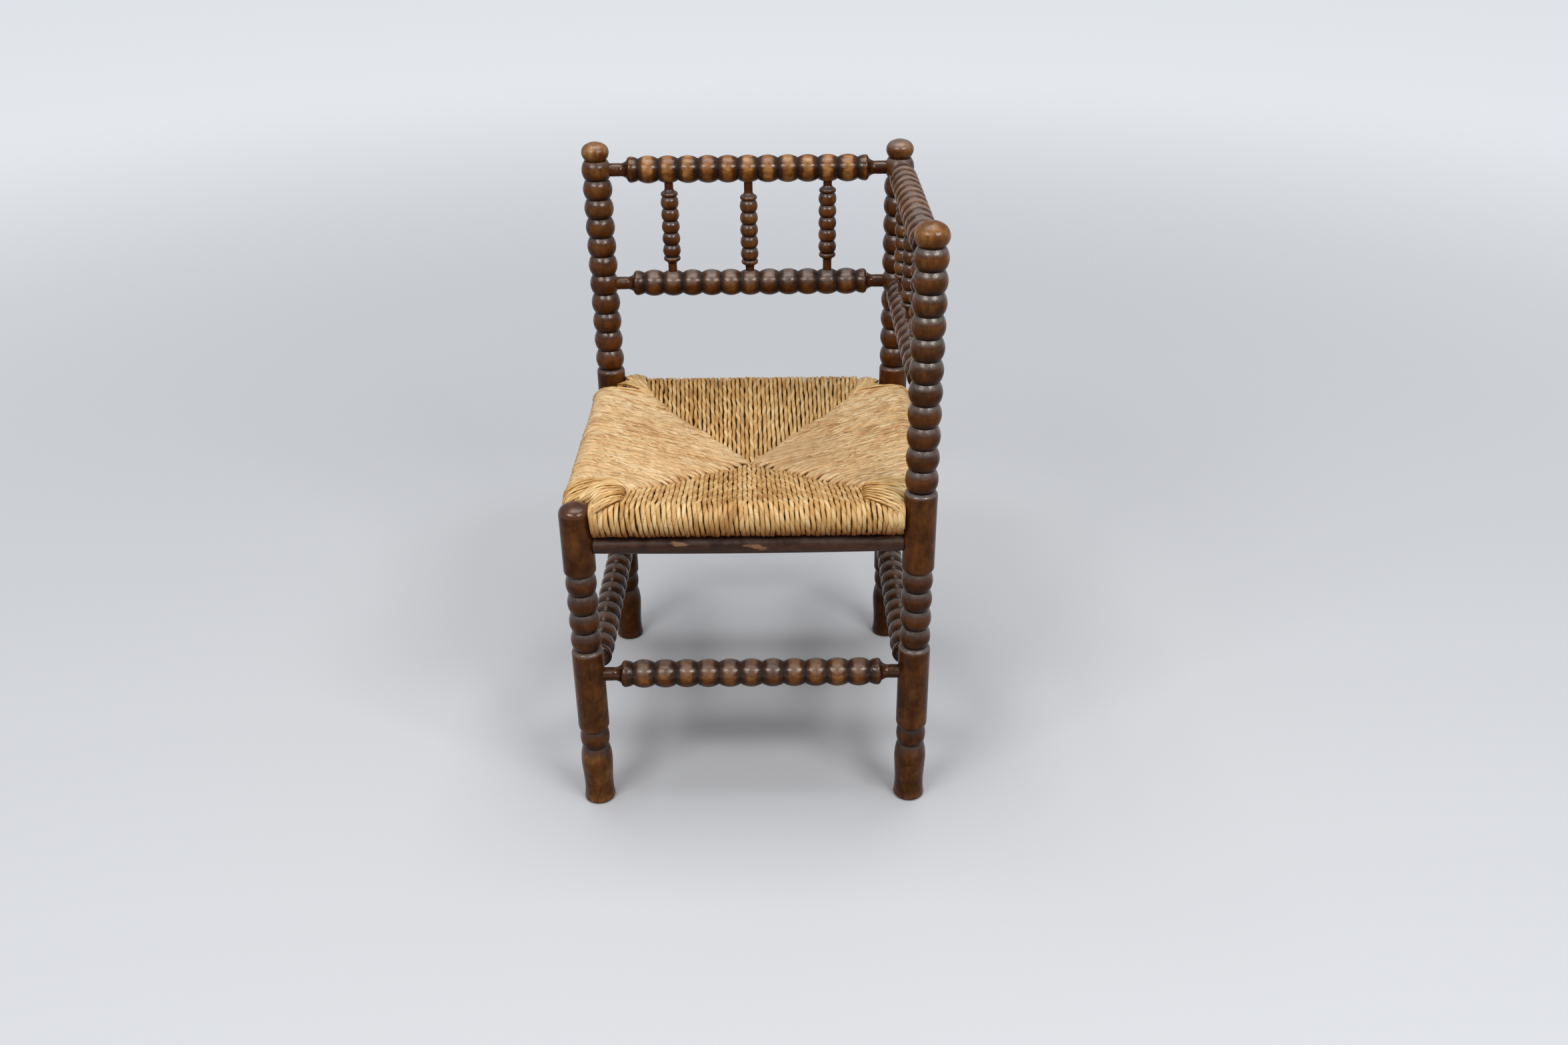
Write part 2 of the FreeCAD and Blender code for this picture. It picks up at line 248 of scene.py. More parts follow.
# %% [markdown]
# The turned wood is stained dark and waxed. Hands and dusters have worn the stain off the crests of the
# beads, so they are amber, while it stays near black in the grooves. The distance from the lathe's axis says
# what is crest and what is groove. A Mapping node lays the axis of each piece along Z, and the length of the
# X and Y that are left is that distance. The growth rings are circles round a pith that lies outside the
# piece: where a bead cuts through them they show as ovals.

# %% Patterns of turned wood
pith = Vector((0.052, 0.031, 0.0))
ring_spacing = 2.4 * mm


def lathe_frame(wood, centre, axis):
    """Object coordinates, moved and turned so that the lathe's axis is Z."""
    turn = axis.rotation_difference(Vector((0, 0, 1))).to_matrix()
    place = -(turn @ centre)
    coordinates = wood.add("TexCoord", {}, "Object")
    return wood.add("Mapping", {"Vector": coordinates, "Location": place, "Rotation": turn.to_euler()})


class Turning(Finish):
    """The finish of one turned piece, with the patterns that its stain, wear and relief share. Groove and
    crest are radii. Above the height of the crown, a domed end, all counts as crest."""

    def __init__(self, name, centre, axis, groove, crest, seed, crown):
        super().__init__(name)
        self.standing = axis.z > 0.5
        self.groove = groove
        self.depth = crest - groove
        lathe = lathe_frame(self, centre, axis)
        self.radius = self.length(self.stretched(lathe, (1.0, 1.0, 0.0)))
        self.along = self.add("SeparateXYZ", {0: lathe}, "Z")
        self.slope = self.upward_slope()
        self.on_crown = self.span(self.along, crown, crown + 3.0 * mm) if crown else 0.0

        self.blotches = self.noise(lathe, 42.0, seed, 4.0, 0.6)
        self.mottle = self.noise(lathe, 170.0, seed + 3.0, 4.0, 0.65)
        self.dents = self.noise(lathe, 60.0, seed + 9.0, 2.0)
        self.pores = self.noise(self.stretched(lathe, (1.0, 1.0, 0.05)), 620.0, seed + 5.0, 3.0, 0.6)
        self.figure = self.noise(self.stretched(lathe, (1.0, 1.0, 0.45)), 85.0, seed + 7.0, 3.0, 0.55, 0.5)
        from_pith = self.vector("SUBTRACT", self.stretched(lathe, (1.0, 1.0, 0.03)), pith)
        turns = self.times(self.length(from_pith), 2 * math.pi / ring_spacing)
        self.rings = self.span(self.math("SINE", self.total(turns, (self.figure, 9.0))), -1.0, 1.0)

# %% [markdown]
# The stain is darkest in the grooves, with a ragged edge; that near black is partly stain left in them and
# partly painted shade. Wear does the opposite: it begins some way up each bead, is patchy and is strongest
# on the crest. On a post it also changes with the height, because hands and backs reach the top, so a colour
# ramp along the axis gives the share of stain that is gone.

# %% Stain and wear
stain_and_shade_black = colour(0.016, 0.009, 0.006)
stain_brown = colour(0.042, 0.0118, 0.0026)
stain_red = colour(0.112, 0.032, 0.0055)
worn_brown = colour(0.26, 0.085, 0.018)
worn_amber = colour(0.50, 0.245, 0.070)


def stained(wood):
    """The stain's colour, with stain and painted shade in the grooves, and how far a point lies in a groove.
    """
    from_groove = wood.math("ABSOLUTE", wood.math("SUBTRACT", wood.radius, wood.groove))
    ragged = wood.total(from_groove, (wood.centred(wood.mottle), 1.1 * mm))
    # Grooves: partly stain left there, partly painted shade; on a post this fades where the surface faces up.
    crevice = wood.span(ragged, 0.0, wood.depth * 0.80, 1.0, 0.0)
    crevice = wood.times(crevice, wood.math("SUBTRACT", 1.0, wood.on_crown))
    if wood.standing:
        crevice = wood.times(crevice, wood.span(wood.slope, 0.10, 0.55, 1.0, 0.35))
    body = wood.mix(wood.span(wood.blotches, 0.3, 0.7), stain_brown, stain_red)
    return wood.mix(crevice, body, stain_and_shade_black), crevice


def worn(wood, tone, wear):
    """The colour with the stain rubbed off the crests, and the share that is rubbed off."""
    ragged = wood.total(wood.radius, (wood.centred(wood.mottle), 1.7 * mm))
    start = 0.50 if wood.standing else 0.62
    on_crest = wood.span(ragged, wood.groove + start * wood.depth, wood.groove + 1.02 * wood.depth)
    on_crest = wood.math("MAXIMUM", on_crest, wood.on_crown)
    low, high = wear[0][0], wear[-1][0]
    gone = wear[0][1]
    if high > low:
        place = wood.math("DIVIDE", wood.math("SUBTRACT", wood.along, low), high - low)
        gone = wood.ramp(place, [((at - low) / (high - low), (share,) * 3) for at, share in wear])
    patchy = wood.span(wood.total(wood.blotches, (wood.mottle, 0.6)), 0.45, 1.05, 0.25, 1.25)
    gone = wood.times(wood.times(on_crest, patchy), gone, clamp=True)
    bare = wood.mix(wood.span(wood.figure, 0.3, 0.75), worn_brown, worn_amber)
    return wood.mix(gone, tone, bare), gone

# %% [markdown]
# Rings and pores darken the colour a little, and painted shade darkens what faces down. Dust settles on
# what faces up and dulls the wax, and the same grey also paints the sheen of the overhead light: on the
# shoulders of a post's beads, and on the backs of a level piece's. Worn spots are rubbed clean of it. The
# relief is small: pores, raised rings, the marks of the turning tool and shallow dents, in millimetres.

# %% Dust, painted sheen, gloss and relief
dust_and_sheen_grey = colour(0.235, 0.205, 0.192)
tool_mark_spacing = 0.9 * mm


def grained_and_shaded_below(wood, tone):
    """The colour with its rings and pores, and with painted shade on what faces down."""
    shade = wood.times(wood.span(wood.rings, 0.0, 1.0, 0.95, 1.03),
                      wood.span(wood.pores, 0.34, 0.50, 0.88, 1.0))
    shade = wood.times(shade, wood.span(wood.figure, 0.25, 0.75, 0.80, 1.15))
    tone = wood.shaded(tone, shade)
    # Painted shade: darker on what faces down.
    return wood.shaded(tone, wood.span(wood.slope, -0.85, 0.15, 0.60, 1.0))


def dusted_and_sheened(wood, tone, dust, crown_dust_and_sheen, gone):
    """The colour under its dust and painted sheen, and the share of both."""
    share, gentle, steep = dust
    # The grey on what faces up is partly dust and partly painted sheen of the overhead light.
    dust_and_sheen = wood.times(wood.span(wood.slope, gentle, steep),
                      wood.span(wood.mottle, 0.25, 0.8, 0.45, 1.1))
    rubbed_clean = wood.math("SUBTRACT", 1.0, wood.times(gone, 0.75))
    # On a post the crown holds its own share; on a level piece the grey keeps to the crests, as painted
    # sheen.
    if wood.standing:
        held = wood.add("Mix", {0: wood.on_crown, 2: 1.0, 3: crown_dust_and_sheen}, 0)
    else:
        held = wood.span(wood.radius, wood.groove + 0.60 * wood.depth, wood.groove + 1.00 * wood.depth,
                         0.06, 1.08)
    dust_and_sheen = wood.times(dust_and_sheen, held)
    dust_and_sheen = wood.times(wood.times(dust_and_sheen, share), rubbed_clean, clamp=True)
    return wood.mix(dust_and_sheen, tone, dust_and_sheen_grey), dust_and_sheen


def turned_wood(node, centre, axis, radii, wear, dust, seed, crown=None, crown_dust_and_sheen=1.0):
    """Gives a node its stained and waxed wood. Radii are (groove, crest), wear is a list of (place along the
    axis, share of the stain that is gone), dust is (share, lowest and full upward slope) of the grey that is
    partly dust and partly painted sheen, and crown dust is what the domed end holds of it, against 1
    elsewhere."""
    wood = Turning("wood_" + node, centre, axis, *radii, seed, crown)
    tone, crevice = stained(wood)
    tone, gone = worn(wood, tone, wear)
    tone, dust_and_sheen = dusted_and_sheened(wood, grained_and_shaded_below(wood, tone), dust, crown_dust_and_sheen, gone)
    rough = wood.total(wood.span(wood.mottle, 0.3, 0.7, 0.13, 0.22),
                       (dust_and_sheen, 0.08), (crevice, 0.12), (gone, 0.13))
    wood.fill(wood.shader, {"Base Color": tone, "Roughness": rough,
                            "Specular IOR Level": wood.span(wood.slope, 0.02, 0.45, 0.10, 0.66),
                            "Specular Tint": colour(1.0, 0.90, 0.82)})
    tool_marks = wood.math("SINE", wood.times(wood.along, 2 * math.pi / tool_mark_spacing))
    wood.bump(wood.total(wood.times(wood.span(wood.pores, 0.36, 0.52), 0.05), (wood.rings, 0.03),
                         (tool_marks, 0.006), (wood.dents, 0.30), (wood.mottle, 0.05)))
    wood.give_to(nodes[node])

# %% [markdown]
# Each piece has its own axis, so each gets a material of its own, with its own seed, wear, and dust with
# its painted sheen. The bun on a post and the dome on the short leg are their crowns.

# %% Finish the posts and the leg
upright = Vector((0, 0, 1))
post_radii = (15.0 * mm, 19.2 * mm)
dome_height, bun_height = 13.0 * mm, 27.0 * mm
# The piece at each corner, dust and painted sheen on its beads, what its crown holds, and its wear up to
# each height
posts = {
    "front_left": ("front_left_leg", 0.70, 0.10, [(0.0, 0.50), (0.12, 0.20), (0.30, 0.08), (0.36, 0.10),
                                                  (0.39, 0.16), (0.42, 0.04), (0.435, 0.03)]),
    "front_right": ("front_right_post", 0.85, 0.0,
                    [(0.0, 0.20), (0.12, 0.16), (0.30, 0.08), (0.39, 0.17), (0.43, 0.17), (0.46, 0.04),
                     (0.55, 0.06), (0.70, 0.20), (0.73, 0.55), (0.76, 0.60)]),
    "back_left": ("back_left_post", 0.38, 0.95,
                  [(0.0, 0.08), (0.44, 0.08), (0.60, 0.14), (0.72, 0.28), (0.735, 0.65), (0.76, 0.80)]),
    "back_right": ("back_right_post", 0.50, 1.60,
                   [(0.0, 0.06), (0.44, 0.05), (0.60, 0.05), (0.72, 0.10), (0.735, 0.34), (0.76, 0.42)]),
}


def middle_of(node):
    low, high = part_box(node)
    return (low + high) / 2


corners = {corner: Vector((*middle_of(post[0]).xy, 0.0)) for corner, post in posts.items()}
for number, (corner, (node, dust, crown_dust_and_sheen, wear)) in enumerate(posts.items()):
    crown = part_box(node)[1].z - (dome_height if corner == "front_left" else bun_height)
    turned_wood(node, corners[corner], upright, post_radii, wear, (dust, 0.22, 0.55), 11.0 * (number + 1),
                crown, crown_dust_and_sheen)
print("posts finished:", len(posts))

# %% [markdown]
# A rail or a stretcher runs from post to post, and its wear is the same all along. The top rails were
# handled most, so they are the palest. The lower rails mostly gathered dust, whose grey also paints their
# sheen.

# %% Finish the rails, stretchers and spindles
rail_radii = (13.7 * mm, 17.5 * mm)
spindle_radii = (8.9 * mm, 11.8 * mm)
# A level piece: its posts, the share of stain worn off, the dust and painted sheen on it
level_pieces = [
    ("back_top_rail", "back_left", "back_right", 0.95, (0.25, 0.75, 1.0)),
    ("back_lower_rail", "back_left", "back_right", 0.26, (0.90, -0.05, 0.75)),
    ("side_top_rail", "front_right", "back_right", 0.58, (1.0, 0.45, 0.95)),
    ("side_lower_rail", "front_right", "back_right", 0.20, (0.80, 0.35, 0.9)),
    ("front_stretcher", "front_left", "front_right", 0.50, (0.75, 0.15, 0.85)),
    ("back_stretcher", "back_left", "back_right", 0.12, (0.60, 0.30, 0.9)),
    ("left_stretcher", "front_left", "back_left", 0.12, (0.60, 0.20, 0.9)),
    ("right_stretcher", "front_right", "back_right", 0.12, (0.60, 0.20, 0.9)),
]
for number, (node, first, second, wear, dust) in enumerate(level_pieces):
    axis = (corners[second] - corners[first]).normalized()
    turned_wood(node, middle_of(node), axis, rail_radii, [(0.0, wear)], dust, 7.0 * number + 2.5)

spindle_wear = {"back_spindle_left": 0.20, "back_spindle_middle": 0.30, "back_spindle_right": 0.18,
                "side_spindle_front": 0.26, "side_spindle_middle": 0.26, "side_spindle_back": 0.26}
for number, (node, wear) in enumerate(spindle_wear.items()):
    turned_wood(node, middle_of(node), upright, spindle_radii, [(0.0, wear)], (0.55, 0.2, 0.6),
                5.0 * number + 1.5)
print("level pieces and spindles finished:", len(level_pieces) + len(spindle_wear))

# %% [markdown]
# The plain rail under the seat's front edge is darker and rubbed through in a few long spots, where its
# wood shows pale. The rails hidden in the rush are bare wood that was never stained.

# %% Finish the plain rails
bare_wood = colour(0.36, 0.19, 0.10)
pore_brown = colour(0.02, 0.012, 0.008)


def plain_wood(node, axis, dark, light, rubbed, seed):
    """Gives a node its smooth wood, with bare spots for a rubbed share above 0."""
    wood = Finish("wood_" + node)
    lathe = lathe_frame(wood, middle_of(node), axis)
    stretched = wood.stretched(lathe, (1.0, 1.0, 0.08))
    figure = wood.noise(stretched, 160.0, seed, 4.0, 0.6)
    pores = wood.noise(stretched, 700.0, seed + 2.0, 2.0)
    blotches = wood.noise(lathe, 55.0, seed + 4.0, 4.0, 0.6)
    tone = wood.mix(wood.span(wood.math("ADD", figure, blotches), 0.7, 1.3), dark, light)
    spots = wood.noise(wood.stretched(lathe, (1.0, 1.0, 0.35)), 75.0, seed + 6.0, 3.0, 0.5)
    bare = wood.times(wood.span(spots, 0.61, 0.70), rubbed, clamp=True)
    tone = wood.mix(bare, tone, bare_wood)
    tone = wood.mix(wood.span(pores, 0.36, 0.50, 0.55, 0.0), tone, pore_brown)
    # Partly dust and partly painted sheen: a grey on what faces up.
    dust_and_sheen = wood.times(wood.span(wood.upward_slope(), 0.1, 0.9), wood.span(blotches, 0.3, 0.7, 0.06, 0.26))
    tone = wood.mix(dust_and_sheen, tone, dust_and_sheen_grey)
    wood.fill(wood.shader, {"Base Color": tone, "Roughness": wood.span(blotches, 0.3, 0.7, 0.28, 0.44),
                            "Specular IOR Level": 0.26, "Specular Tint": colour(1.0, 0.88, 0.80)})
    wood.bump(wood.total(wood.times(wood.span(pores, 0.36, 0.5), 0.05), (blotches, 0.25)))
    wood.give_to(nodes[node])


across = Vector((1, 0, 0))
back_to_front = Vector((0, 1, 0))
plain_wood("front_under_rail", across, colour(0.030, 0.0125, 0.008), colour(0.085, 0.034, 0.018), 0.85, 3.0)
for number, side in enumerate(("front", "back", "left", "right")):
    plain_wood(side + "_seat_rail", across if number < 2 else back_to_front, colour(0.30, 0.18, 0.09),
               colour(0.48, 0.31, 0.17), 0.0, 20.0 + number)
print("plain rails finished: 5")

# %% [markdown]
# The seat is woven from one long twisted strand of rush. The weaver goes round the four rails in turn, so
# every strand runs from its rail to a seam on the diagonal, where the next side's strands cross it. That
# makes four fields. The strands of the two sides lie on top along the seams, pressed flat. Those of the
# front and the back go under them, round and with dark gaps between. The heights of the seams, from the
# middle of the seat to its corners, come first.

# %% Shape of the seat
seam_heights = [(0.0, 386.0), (20.0, 387.5), (35.0, 392.0), (50.0, 396.5), (65.0, 400.0), (80.0, 402.5),
                (95.0, 405.0), (108.0, 408.5), (120.0, 413.0), (130.0, 417.0), (140.0, 421.0), (180.0, 427.0)]
seam_reach = 141.0
strand_count = 60
strand_pitch = 5.9
strand_bend_radius = 18.3
under_middle, under_rise, under_reach = 367.0, 19.0, 170.0
below_share = 0.92


def seam_height(out):
    """Height in mm of the seat's top, on a seam this far out from the middle."""
    for (first, low), (second, high) in zip(seam_heights, seam_heights[1:]):
        if out <= second:
            return low + (high - low) * (out - first) / (second - first)
    return seam_heights[-1][1]


def under_height(out):
    """The same for the seat's underside."""
    return under_middle + under_rise * min(out / under_reach, 1.0)


print("top of the seat in mm, middle and rim:", seam_height(0.0), seam_height(seam_reach))

# %% [markdown]
# Each side of the seat has its own directions: along its rail and in to the middle. A route that is worked
# out from them serves all four sides.

# %% The four sides
class Side:
    """One of the four rails that carry the rush."""

    def __init__(self, name, first, second):
        start, end = corners[first] / mm, corners[second] / mm
        self.name = name
        self.middle = (start + end) / 2
        self.along = (end - start).normalized()
        self.inward = Vector((-self.along.y, self.along.x, 0.0))
        if self.inward.dot(self.middle) > 0:
            self.inward = -self.inward
        self.height = middle_of(name + "_seat_rail").z / mm


sides = {name: Side(name, first, second) for name, first, second in (
    ("front", "front_left", "front_right"), ("back", "back_left", "back_right"),
    ("left", "front_left", "back_left"), ("right", "front_right", "back_right"))}
print("seat rails, heights in mm:", [round(side.height, 1) for side in sides.values()])

# %% [markdown]
# The route of one strand starts at the seam under the seat, runs out to the rail, goes round it and comes
# in over the top to its seam, where it dives. Its straight parts are tangents to the bend round the rail.
# All is in millimetres.

# %% Route of one strand
below_steps, round_steps = 5, 12
lowest_turn, hook_stretch = 1.6, 16.0


def strand_route(side, place, seam, seam_top, under, under_low, bow, dive, drop, hook=0.0, lean=0.0,
                 bulge=0.0):
    """Points from the seam below the seat to the seam on top. Place is along the rail from its middle, and
    seam and under are plan points. Bow bends the strand near its end, hook is how far it turns sideways in
    its last stretch, lean shifts it along the rail as it goes down round it, bulge bends it to the side
    halfway down, and at the seam it runs on by dive while it falls by drop."""
    radius = strand_bend_radius
    rail = side.middle + side.along * place

    def reach(point, height):
        """How far in a point is, its angle, and how far from that the tangent touches."""
        run = (point - rail).dot(side.inward)
        rise = height - side.height
        return run, math.atan2(rise, run), math.acos(min(1.0, radius / math.hypot(run, rise)))

    top_run, top_angle, top_spread = reach(seam, seam_top)
    _, under_angle, under_spread = reach(under, under_low)
    leaves = top_angle + top_spread
    arrives = under_angle - under_spread + 2 * math.pi

    def off_rail(angle):
        """A point of the bend. The lean grows with the quarter turns that the strand has gone down."""
        down = min(lowest_turn, max(0.0, (angle - leaves) / (math.pi / 2)))
        shift = lean * down + bulge * math.sin(math.pi * down / lowest_turn)
        return (rail + side.inward * radius * math.cos(angle) + side.along * shift
                + Vector((0, 0, side.height + radius * math.sin(angle))))

    foot = Vector((under.x, under.y, under_low))
    points = [foot.lerp(off_rail(arrives), step / below_steps) for step in range(below_steps)]
    points += [off_rail(arrives + (leaves - arrives) * step / round_steps) for step in range(round_steps)]
    start = off_rail(leaves)
    sideways = (seam - rail).dot(side.along) - hook
    steps = max(6, int(top_run / 5))
    for step in range(steps + 1):
        share = step / steps
        run = radius * math.cos(leaves) * (1 - share) + top_run * share
        near_end = max(0.0, 1.0 - (1.0 - share) * top_run / hook_stretch)
        swing = sideways * share ** bow + hook * near_end ** 1.6
        height = start.z + (seam_top - start.z) * share
        points.append(rail + side.inward * run + side.along * swing + Vector((0, 0, height)))
    end = points[-1]
    heading = (end - points[-2]).normalized()
    return points + [end + heading * onward - Vector((0, 0, down)) for onward, down in zip(dive, drop)]

# %% [markdown]
# The points of a route are unevenly spaced, with slight kinks where its parts meet. So a route is measured,
# cut into even steps and smoothed once.

# %% Even steps along a route
def resampled(points, spacing):
    """The same route with evenly spaced points, smoothed, and its length."""
    lengths = [0.0]
    for first, second in zip(points, points[1:]):
        lengths.append(lengths[-1] + (second - first).length)
    count = max(8, round(lengths[-1] / spacing))
    even = []
    index = 0
    for step in range(count + 1):
        wanted = lengths[-1] * step / count
        while index < len(points) - 2 and lengths[index + 1] < wanted:
            index += 1
        share = (wanted - lengths[index]) / (lengths[index + 1] - lengths[index])
        even.append(points[index].lerp(points[index + 1], share))
    inner = [(a + 2 * b + c) / 4 for a, b, c in zip(even, even[1:], even[2:])]
    return [even[0]] + inner + [even[-1]], lengths[-1]


# %% [markdown]
# A strand is a grid rolled up into a tube. Blender's grid operator makes the faces and a first UV map, and
# each corner is moved to its place: one way round the section, the other way along the route. The section
# is a flattened oval with two lobes that turn as they go, because a strand is two leaves twisted together.
# The seam where the grid meets itself is welded, and the two open ends are closed.

# %% Tube along a route
tube_faces = 8
narrows_from, narrows_over = 0.45, 0.55
end_size = 0.45
side_power, top_power = 0.62, 0.78
stray_length, swell_length, swell_depth = 20.0, 16.0, 0.20


def flattened(value, power):
    """The value with its sign kept, raised to a power below 1, which squares up a circle."""
    return math.copysign(abs(value) ** power, value)


def add_strand(shape, layers, points, across, half_width, half_height, twist, draw, wander, spacing,
               lobe=0.16):
    """One strand of rush. Half width is (at the rail, at the seam), twist is the length of one turn in mm,
    draw is the seeded random source, wander is how far it strays to the side, spacing is the length of a
    face, and lobe is how far the two leaves stand out."""
    path, length = resampled(points, spacing)
    rows = len(path) - 1
    made = bmesh.ops.create_grid(shape, x_segments=tube_faces, y_segments=rows, size=0.5,
                                 calc_uvs=True)["verts"]
    seed = Vector((draw.uniform(0, 100), draw.uniform(0, 100), 0.0))
    phase = draw.uniform(0, 2 * math.pi)
    plump = draw.uniform(0.94, 1.06)
    raised = draw.uniform(-0.55, 0.55)
    tone = draw.random()
    for corner in made:
        turn = (corner.co.x + 0.5) * 2 * math.pi
        row = min(rows, max(0, round((corner.co.y + 0.5) * rows)))
        distance = length * row / rows
        here = path[row]
        ahead = (path[min(row + 1, rows)] - path[max(row - 1, 0)]).normalized()
        beside = (across - ahead * across.dot(ahead)).normalized()
        above = beside.cross(ahead)
        share = max(0.0, (row / rows - narrows_from) / narrows_over)
        width = half_width[0] + (half_width[1] - half_width[0]) * share
        lobes = 1 + lobe * math.cos(2 * (turn - phase - 2 * math.pi * distance / twist))
        stray = wander * noise.noise(seed + Vector((0, 0, distance / stray_length)))
        swell = plump * (1 + swell_depth * noise.noise(seed + Vector((7, 3, distance / swell_length))))
        size = 1.0 if 0 < row < rows else end_size
        offset = beside * (stray + width * swell * lobes * size * flattened(math.cos(turn), side_power))
        offset += above * (raised + half_height * swell * lobes * size * flattened(math.sin(turn), top_power))
        corner.co = (here + offset) * mm
        corner[layers["tone"]] = tone
        corner[layers["flank"]] = abs(math.cos(turn))
    for face in {face for corner in made for face in corner.link_faces}:
        face.smooth = True
        for loop in face.loops:
            place = loop[layers["uv"]].uv
            place.y *= length * mm
            place.x -= place.y / (twist * mm) + phase / (2 * math.pi)
    bmesh.ops.remove_doubles(shape, verts=made, dist=0.02 * mm)

# %% [markdown]
# At each corner the last strands of both rails are gathered into a thick bundle. It lies over the others
# like a tongue and ends blunt at the seam. It is made of fans of strands: one comes over the side rail, one
# up through the notch beside the post, and at the back corners one over the end of the back roll. A fan is
# given by its first and its last strand, each as a few points of its route, and the strands between are
# blends of the two. Points that would lie inside the post are pushed out of it.

# %% Fans of strands
curve_steps = 6
post_skin = 20.2
front_post, back_post = Vector((200.0, -192.5, 0.0)), Vector((197.0, 192.5, 0.0))
shift_from, shift_over = 190.0, 45.0
lift_from, lift_over = 402.0, 18.0


def smooth_route(points):
    """A smooth curve through the points."""
    points = [Vector(point) for point in points]
    padded = [points[0] * 2 - points[1]] + points + [points[-1] * 2 - points[-2]]
    route = []
    for a, b, c, d in zip(padded, padded[1:], padded[2:], padded[3:]):
        for step in range(curve_steps):
            t = step / curve_steps
            route.append(0.5 * (2 * b + (c - a) * t + (2 * a - 5 * b + 4 * c - d) * t * t
                                + (3 * b - a - 3 * c + d) * t * t * t))
    return route + [points[-1]]


def fan(first, last, count, left, shift, arch, drop):
    """Routes that blend from the first to the last, for the left or the right corner. Shift moves the
    blunt end outward, arch raises the middle strands and drop lowers the top of all of them."""
    routes = []
    for number in range(count):
        share = number / (count - 1)
        points = [Vector(a).lerp(Vector(b), share) for a, b in zip(first, last)]
        for point in points:
            point.x += shift * min(1.0, max(0.0, (shift_from - point.x) / shift_over))
            above = min(1.0, max(0.0, (point.z - lift_from) / lift_over))
            point.z += above * (arch * math.sin(math.pi * share) - drop)
            post = front_post if point.y < 0 else back_post
            away = Vector((point.x, point.y, 0.0)) - post
            if away.length < post_skin:
                point += away.normalized() * (post_skin - away.length)
            if left:
                point.x = -point.x
        routes.append(smooth_route(points))
    return routes

# %% [markdown]
# The points are for the corners on the right, in millimetres, and mirrored on the left. They run from below
# the seat round the rail and over the top to the blunt end, which dives. On the real chair the front right
# bundle reaches further in and the back right one lies lower, so they are shifted and dropped.

# %% Fans of the four corners
# Along the side's rail or across it, number of strands, arch, first strand, last strand
front_fans = [
    ("side", 7, 0.0,
     [(130, -122, 378), (178, -140, 386), (203, -150, 391), (217.5, -152, 404), (215, -147, 420),
      (203, -141.5, 428), (190, -138, 430.5), (178, -136.5, 431), (163, -137, 429.5), (150, -139.5, 425),
      (147, -140.5, 417)],
     [(140, -145, 380), (175, -160, 387), (200, -172, 391), (215, -177, 402), (213, -176.5, 416),
      (205.5, -173, 422.5), (196.5, -172.5, 426), (187, -165.5, 429.5), (176, -157, 432), (149, -149, 427.5),
      (146, -149.5, 419)]),
    ("cross", 9, 1.5,
     [(165, -155, 385), (185, -164, 392), (201, -171, 406), (204, -173.3, 419), (195.5, -172.2, 426.2),
      (177, -158.7, 432), (149, -151, 427.5), (146, -151.5, 420)],
     [(165, -165, 385), (174, -178, 392), (180, -190, 404), (181.5, -199, 415), (177, -205, 421.5),
      (164, -199, 427.5), (148, -183.5, 427), (144.5, -180, 420)]),
]
back_fans = [
    ("side", 7, 0.0,
     [(130, 126, 378), (178, 142, 386), (203, 148, 391), (216.5, 149, 404), (214, 149, 418), (201, 149, 426),
      (178, 148.5, 426.6), (161, 146, 424.6), (147, 142.5, 422), (141, 137, 414)],
     [(140, 146, 380), (180, 160, 387), (200, 169, 389), (211, 171.5, 398), (208, 171.5, 409),
      (199, 170.5, 414.5), (188, 168.5, 417), (172, 161, 421.5), (148, 145, 423.5), (142, 141, 415)]),
    ("cross", 5, 0.0,
     [(160, 150, 382), (172, 165, 388), (182, 172, 400), (187, 174, 413), (184, 171.5, 422.5),
      (170, 162, 427), (147, 146, 425), (143, 143, 416)],
     [(160, 155, 382), (169, 174, 388), (175.5, 183, 400), (178.5, 184.5, 413), (175, 183, 423),
      (163.5, 168.5, 427.5), (147, 147.5, 425), (143, 144.5, 416)]),
    ("cross", 9, 3.5,
     [(140, 150, 378), (168, 180, 381), (173, 193, 380), (175, 209, 388), (175, 214, 400), (175.5, 209, 414),
      (176.5, 196, 422.5), (169, 178, 427.5), (147, 148, 425), (143, 144, 416)],
     [(134, 150, 376), (146, 180, 378), (149, 193, 380), (150, 209, 387), (150, 214, 400), (150.5, 209, 415),
      (151, 196, 423.5), (149, 176, 425), (139, 146, 421.5), (136, 139, 413)]),
]
bundle_fans = {}
for hand, front_shift, back_shift, back_drop in (("left", 0.0, 0.0, 0.0), ("right", -10.0, -3.0, 8.0)):
    for fans, shift, drop in ((front_fans, front_shift, 0.0), (back_fans, back_shift, back_drop)):
        for kind, count, arch, first, last in fans:
            drop_here = drop if kind == "cross" else 0.0
            bundle_fans.setdefault((hand, kind), []).extend(
                fan(first, last, count, hand == "left", shift, arch, drop_here))
print("strands in the bundles:", sum(map(len, bundle_fans.values())))

# %% [markdown]
# Round strands fill the front and the back field, flat ones the two sides. A side strand swings forward
# before it reaches its seam, as the weaver's pull leaves it.

